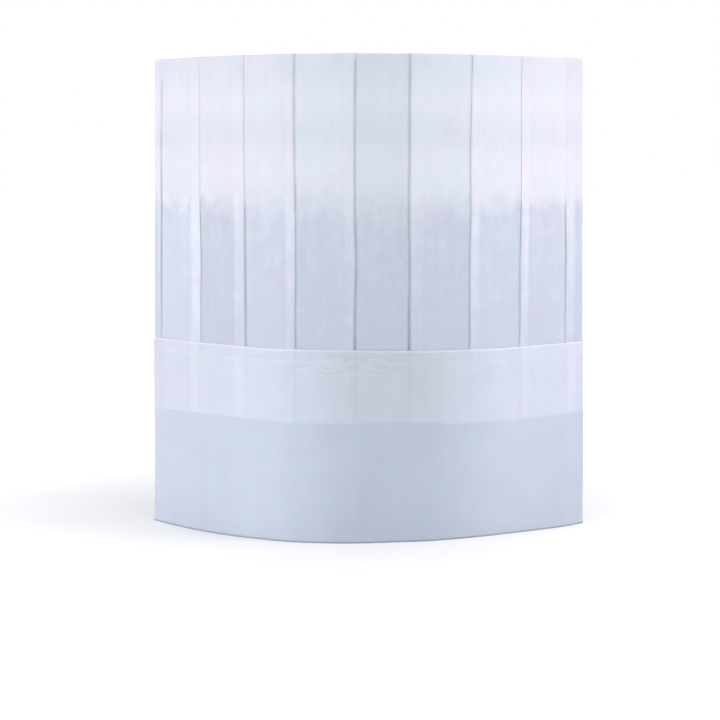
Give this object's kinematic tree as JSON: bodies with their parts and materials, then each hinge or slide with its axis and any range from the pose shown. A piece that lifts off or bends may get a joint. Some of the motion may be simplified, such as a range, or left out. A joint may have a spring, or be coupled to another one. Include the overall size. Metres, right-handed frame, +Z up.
{
  "type": "baker cap",
  "caption": "Tall straight baker's cap of thin white pleated paper with a sunk closed top and a plain paper head band, standing open on its band.",
  "frame": {"origin": "on the floor under the middle of the cap's box, at the lower edge of the head band", "axes": "+Z up from the band to the rim, -Y to the front, X along the line between the two side creases"},
  "size_m": [0.2674, 0.1252, 0.28],
  "materials": {
    "pleated_paper": "matt non-woven paper, thin enough to let light through",
    "band_paper": "matt non-woven paper, smooth, thin enough to let light through"
  },
  "bodies": {
    "root": {"pleated_crown": "pleated_paper", "head_band": "band_paper"}
  },
  "joints": []
}
